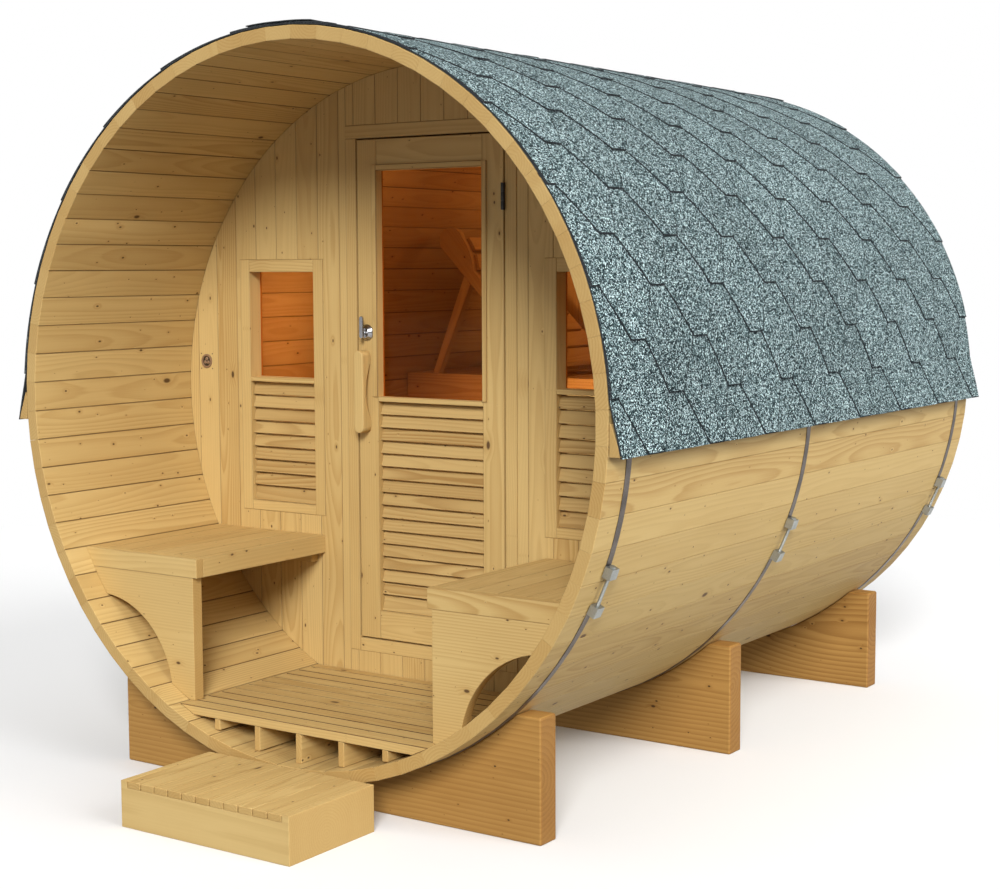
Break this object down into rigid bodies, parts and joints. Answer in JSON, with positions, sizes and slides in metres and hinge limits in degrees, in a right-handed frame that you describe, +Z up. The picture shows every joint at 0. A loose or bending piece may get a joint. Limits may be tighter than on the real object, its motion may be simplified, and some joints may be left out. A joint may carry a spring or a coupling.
{
  "type": "barrel sauna with open porch",
  "caption": "Round outdoor sauna cabin of wooden staves lying on cradles, with a shingled roof, an open porch with side benches, a glazed louvred door, side windows and a loose step.",
  "frame": {"origin": "on the ground, at the middle of the middle cradle's underside, below the barrel's axis at half its length", "axes": "+Z up, +Y along the barrel from the door end to the back, +X to the right when facing the door"},
  "size_m": [2.1862, 2.871, 2.2007],
  "materials": {
    "pale_pine": "planed pale softwood with knots",
    "cradle_pine": "planed orange-brown softwood",
    "slate_shingle": "bitumen shingle with blue-grey mineral granules",
    "strap_steel": "plain steel band",
    "zinc_fitting": "zinc plated",
    "black_hinge": "black",
    "bright_latch": "polished",
    "bronze_glass": "bronze tinted"
  },
  "bodies": {
    "cabin": {"staves_bottom": "pale_pine", "staves_lower_right": "pale_pine", "staves_right": "pale_pine", "staves_upper_right": "pale_pine", "staves_top": "pale_pine", "staves_upper_left": "pale_pine", "staves_left": "pale_pine", "staves_lower_left": "pale_pine", "shingles_left": "slate_shingle", "shingles_right": "slate_shingle", "shingle_ridge": "slate_shingle", "eave_battens": "pale_pine", "straps": "strap_steel", "strap_tensioners": "zinc_fitting", "cradle_front": "cradle_pine", "cradle_middle": "cradle_pine", "cradle_rear": "cradle_pine", "front_wall_left": "pale_pine", "front_wall_right": "pale_pine", "front_wall_over_door": "pale_pine", "front_wall_under_door": "pale_pine", "rear_wall": "pale_pine", "door_casing": "pale_pine", "door_sill": "pale_pine", "door_stops": "pale_pine", "casing_hinge_leaves": "black_hinge", "window_frames": "pale_pine", "window_glass": "bronze_glass", "window_louvres": "pale_pine", "bench_seats": "pale_pine", "bench_rails": "pale_pine", "bench_panels": "pale_pine", "bench_ledgers": "pale_pine", "porch_floor": "pale_pine", "cabin_floor": "pale_pine", "floor_joists": "pale_pine", "step_frame": "pale_pine", "step_slats": "pale_pine", "inner_bench_rails": "pale_pine", "inner_bench_slats": "pale_pine", "recliner_rails": "pale_pine", "recliner_slats": "pale_pine", "recliner_props": "pale_pine"},
    "door": {"door_stiles": "pale_pine", "door_rails": "pale_pine", "door_glass": "bronze_glass", "door_beads": "pale_pine", "door_louvres": "pale_pine", "door_handle": "pale_pine", "door_latch": "bright_latch", "door_hinge_leaves": "black_hinge"}
  },
  "joints": [
    {"name": "door_swing", "type": "hinge", "parent": "cabin", "child": "door", "pos_m": [0.28, -0.5765, 1.14], "axis": [0, 0, 1], "range_deg": [0, 100]}
  ]
}
